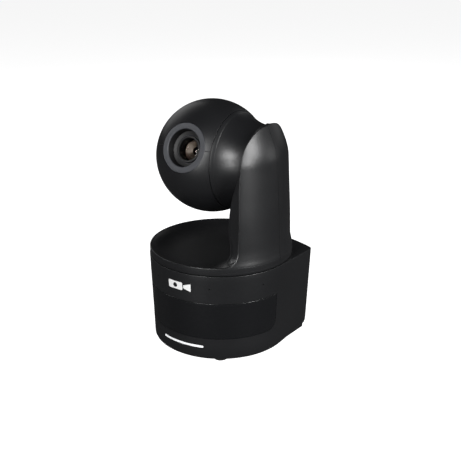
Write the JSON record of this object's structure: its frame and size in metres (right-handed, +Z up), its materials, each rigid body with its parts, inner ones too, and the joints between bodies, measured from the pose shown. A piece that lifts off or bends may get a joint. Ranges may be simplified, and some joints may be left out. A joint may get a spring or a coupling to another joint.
{
  "type": "ptz camera",
  "caption": "Desktop pan-tilt-zoom camera: ball head with a recessed lens on a single hollow arm, turning on a D-shaped base with rear sockets.",
  "frame": {"origin": "centre of the footprint on the surface the camera stands on, on the pan axis", "axes": "+Z up along the pan axis, -Y towards the front of the base, +X towards the arm; the tilt axis runs along X"},
  "size_m": [0.152, 0.145, 0.2437],
  "materials": {
    "body_plastic": "moulded black with a fine satin grain",
    "window_plastic": "smoked, half gloss",
    "bezel_plastic": "dark grey satin",
    "light_plastic": "white light guide",
    "print_white": "white inlay",
    "rubber": "matt black",
    "steel": "plain",
    "brass": "turned",
    "board": "green solder mask",
    "port_metal": "pressed shells",
    "black_plastic": "plain black",
    "lens_glass": "coated, brownish reflection"
  },
  "bodies": {
    "base": {"base_shell": "body_plastic", "floor_plate": "black_plastic", "front_window": "window_plastic", "status_light": "light_plastic", "front_badge": "print_white", "microphone_1": "steel", "microphone_2": "steel", "microphone_3": "steel", "microphone_4": "steel", "foot_1": "rubber", "foot_2": "rubber", "foot_3": "rubber", "foot_4": "rubber", "base_screw_1": "steel", "base_screw_2": "steel", "base_screw_3": "steel", "base_screw_4": "steel", "tripod_insert": "brass", "main_board": "board", "port_panel": "black_plastic", "lan_port": "port_metal", "hdmi_port": "port_metal", "usb_port": "port_metal", "power_jack": "black_plastic", "ir_receiver": "black_plastic", "chassis_deck": "steel", "pan_motor": "steel", "pan_bearing": "steel", "pan_belt": "rubber"},
    "pan_motor_rotor": {"pan_motor_pulley": "brass"},
    "pan_body": {"turntable": "body_plastic", "arm_rear_cover": "body_plastic", "pan_hub": "steel", "pan_pulley": "black_plastic", "arm_frame": "steel", "tilt_motor": "steel", "tilt_belt": "rubber", "tilt_bearing": "steel"},
    "tilt_motor_rotor": {"tilt_motor_pulley": "brass"},
    "head": {"head_upper_shell": "body_plastic", "head_lower_shell": "body_plastic", "head_neck_shell": "body_plastic", "lens_bezel": "bezel_plastic", "lens_barrel": "black_plastic", "front_glass": "lens_glass", "lens_block": "black_plastic", "sensor_board": "board", "image_sensor": "steel", "head_frame": "steel", "tilt_shaft": "steel", "tilt_pulley": "black_plastic"},
    "zoom_group": {"zoom_cell": "black_plastic", "zoom_lens": "lens_glass"},
    "focus_group": {"focus_cell": "black_plastic", "focus_lens": "lens_glass"}
  },
  "joints": [
    {"name": "pan", "type": "hinge", "parent": "base", "child": "pan_body", "pos_m": [0, 0, 0.0918], "axis": [0, 0, 1], "range_deg": [-170, 170]},
    {"name": "tilt", "type": "hinge", "parent": "pan_body", "child": "head", "pos_m": [-0.00975, 0, 0.1883], "axis": [-1, 0, 0], "range_deg": [-50, 70]},
    {"name": "pan_motor_spin", "type": "hinge", "parent": "base", "child": "pan_motor_rotor", "pos_m": [0, 0.042, 0.0685], "axis": [0, 0, 1], "range_deg": [-640, 640]},
    {"name": "tilt_motor_spin", "type": "hinge", "parent": "pan_body", "child": "tilt_motor_rotor", "pos_m": [0.0598, 0, 0.125], "axis": [-1, 0, 0], "range_deg": [-120, 170]},
    {"name": "zoom", "type": "slide", "parent": "head", "child": "zoom_group", "axis": [0, -0.9385, 0.3453], "range_m": [-0.006, 0.004]},
    {"name": "focus", "type": "slide", "parent": "head", "child": "focus_group", "axis": [0, -0.9385, 0.3453], "range_m": [-0.0025, 0.0025]}
  ],
  "couplings": [
    {"joint": "pan_motor_spin", "follows": "pan", "ratio": 3.7333},
    {"joint": "tilt_motor_spin", "follows": "tilt", "ratio": 2.3333}
  ]
}
